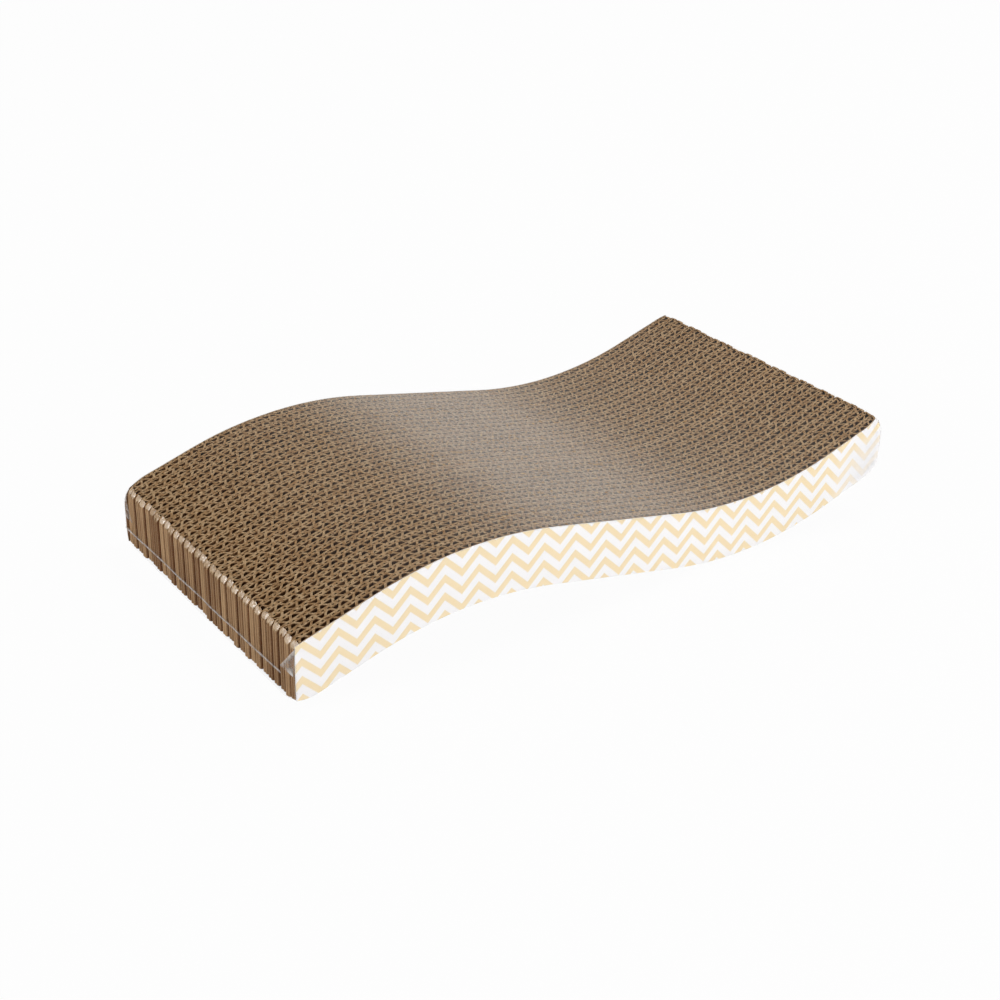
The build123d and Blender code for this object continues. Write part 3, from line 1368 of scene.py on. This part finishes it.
def studio_floor(look):
    """Pale matt floor, seen as white except where the pad shades it."""
    corners = np.array([(x, y, 0.0) for x, y in ((-1, -1), (1, -1), (1, 1), (-1, 1))]) * FLOOR_HALF
    material, nodes = new_material("floor")
    place_on_floor = nodes.coordinates()
    grain = nodes.noise(place_on_floor, *FLOOR_GRAIN)
    roughness = nodes.span(grain, *FLOOR_ROUGHNESS)
    matt = nodes.principled({"Base Color": opaque(look.floor), "Roughness": roughness})
    white = nodes.add("ShaderNodeEmission")
    x = nodes.part(place_on_floor, "X")
    y = nodes.part(place_on_floor, "Y")
    end, side = CAD_BOX[1].x, CAD_BOX[1].y
    along = 1 - nodes.smooth(abs(x), end - SHADE_FADE, end)
    open_front = SHADE_SLOPE * abs(abs(x - SHADE_CREST) - SHADE_HALF)
    behind = nodes.smooth(y - open_front, -side, SHADE_FADE - side)
    across = behind - nodes.smooth(y, side - SHADE_FADE, side)
    seen = FLOOR_GLOW * seen_directly(nodes) * (1 - along * across)
    nodes.finish(nodes.blend(seen, matt, white))
    floor = mesh_piece("floor", corners, [[0, 1, 2, 3]], [material])


def studio_light(look):
    """Backdrop, white low down and dim above, and lamps in front, overhead and at one side."""
    world = bpy.data.worlds.new("studio")
    world.use_nodes = True
    nodes = Nodes(world.node_tree)
    direction = nodes.add("ShaderNodeTexCoord", output="Generated")
    height = nodes.part(direction, "Z")
    towards = {0: direction, 1: BACKDROP_SIDE}
    behind = nodes.add("ShaderNodeVectorMath", {"operation": "DOT_PRODUCT"}, towards, "Value")
    low_down = 1 - nodes.smooth(height, BACKDROP_TOP, CEILING_START)
    surround = nodes.span(seen_directly(nodes), look.surround, 1)
    wall = nodes.span(nodes.smooth(behind, 0.0, BACKDROP_EDGE), surround, look.backdrop)
    inputs = {"Color": opaque(WHITE), "Strength": nodes.span(low_down, look.ceiling, wall)}
    background = nodes.add("ShaderNodeBackground", None, inputs)
    nodes.finish(background, "ShaderNodeOutputWorld")
    bpy.context.scene.world = world
    for name, power, spot, size in (
        ("key", look.key_power, KEY_PLACE, KEY_SIZE),
        ("top", look.top_power, TOP_PLACE, TOP_SIZE),
        ("side", look.side_power, SIDE_PLACE, SIDE_SIZE),
    ):
        lamp = bpy.data.lights.new(name, "AREA")
        lamp.energy = power
        lamp.shape = "RECTANGLE"
        lamp.size, lamp.size_y = size
        softbox = bpy.data.objects.new(name, lamp)
        softbox.location = spot
        softbox.rotation_euler = (-Vector(spot)).to_track_quat("-Z", "Y").to_euler()
        bpy.context.scene.collection.objects.link(softbox)


def studio_camera(look):
    """Camera from the photograph's side, with a slight roll."""
    data = bpy.data.cameras.new("camera")
    data.lens = look.lens
    camera = bpy.data.objects.new("camera", data)
    level = math.cos(look.elevation)
    back = Vector(
        (math.sin(look.azimuth) * level, -math.cos(look.azimuth) * level, math.sin(look.elevation))
    )
    right = Vector((0, 0, 1)).cross(back).normalized()
    turned = Matrix.Rotation(look.roll, 3, back) @ right
    axes = Matrix((turned, back.cross(turned), back)).transposed()
    camera.matrix_world = Matrix.Translation(Vector(look.target) + back * look.distance) @ axes.to_4x4()
    bpy.context.scene.collection.objects.link(camera)
    bpy.context.scene.camera = camera


# Operators

class SCRATCHER_OT_strips(bpy.types.Operator):
    """Build the fluted strips from their papers"""

    bl_idname = "scratcher.strips"
    bl_label = "Fluted strips"

    def execute(self, context):
        scene = context.scene
        sizes = scene.scratcher_board
        wave = Wave(scene.scratcher_wave)
        random = np.random.default_rng(sizes.seed + 1)
        material = kraft_board(scene.scratcher_kraft)
        for node, cut in zip(STRIP_NODES, strip_cuts(sizes, wave)):
            piece = fluted_strip(
                f"board_{node}", node, cut, sizes, wave, scene.scratcher_corners, material, random
            )
            place(piece, node)
        return {"FINISHED"}


class SCRATCHER_OT_panels(bpy.types.Operator):
    """Build the two printed side panels"""

    bl_idname = "scratcher.panels"
    bl_label = "Printed panels"

    def execute(self, context):
        scene = context.scene
        wave = Wave(scene.scratcher_wave)
        random = np.random.default_rng(scene.scratcher_board.seed + 2)
        look = scene.scratcher_print
        materials = [printed_card(look), bare_card(look), kraft_board(scene.scratcher_kraft)]
        for node in PANEL_NODES:
            piece = side_panel(f"card_{node}", node, wave, scene.scratcher_corners, materials, random)
            place(piece, node)
        return {"FINISHED"}


class SCRATCHER_OT_film(bpy.types.Operator):
    """Build the clear shrink film with its weld"""

    bl_idname = "scratcher.film"
    bl_label = "Shrink film"

    def execute(self, context):
        scene = context.scene
        wave = Wave(scene.scratcher_wave)
        sizes = scene.scratcher_board
        look = scene.scratcher_film
        piece = film_piece("clear_film", look, sizes, wave, scene.scratcher_corners)
        place(piece, FILM_NODE)
        return {"FINISHED"}


class SCRATCHER_OT_stage(bpy.types.Operator):
    """Set up the floor, the light and the camera"""

    bl_idname = "scratcher.stage"
    bl_label = "Stage"

    def execute(self, context):
        look = context.scene.scratcher_stage
        studio_floor(look)
        studio_light(look)
        studio_camera(look)
        context.scene.view_settings.view_transform = "Standard"
        return {"FINISHED"}


class SCRATCHER_PT_sidebar(bpy.types.Panel):
    """Lists the operators that build the scratcher's pieces, and all their settings"""

    bl_idname = "SCRATCHER_PT_sidebar"
    bl_label = "Cat scratcher"
    bl_space_type = "VIEW_3D"
    bl_region_type = "UI"
    bl_category = "Scratcher"

    def draw(self, context):
        for operator in OPERATORS:
            self.layout.operator(operator.bl_idname)
        for name in SETTINGS:
            settings = getattr(context.scene, name)
            for key in settings.__annotations__:
                self.layout.prop(settings, key)


OPERATORS = (
    SCRATCHER_OT_strips,
    SCRATCHER_OT_panels,
    SCRATCHER_OT_film,
    SCRATCHER_OT_stage,
)


def register():
    for name, group in SETTINGS.items():
        bpy.utils.register_class(group)
        setattr(bpy.types.Scene, name, PointerProperty(type=group))
    for item in (*OPERATORS, SCRATCHER_PT_sidebar):
        bpy.utils.register_class(item)


def unregister():
    for item in (SCRATCHER_PT_sidebar, *reversed(OPERATORS)):
        bpy.utils.unregister_class(item)
    for name, group in reversed(SETTINGS.items()):
        delattr(bpy.types.Scene, name)
        bpy.utils.unregister_class(group)


def main():
    register()
    bpy.ops.scratcher.strips()
    bpy.ops.scratcher.panels()
    bpy.ops.scratcher.film()
    bpy.ops.scratcher.stage()


if __name__ == "__main__":
    main()
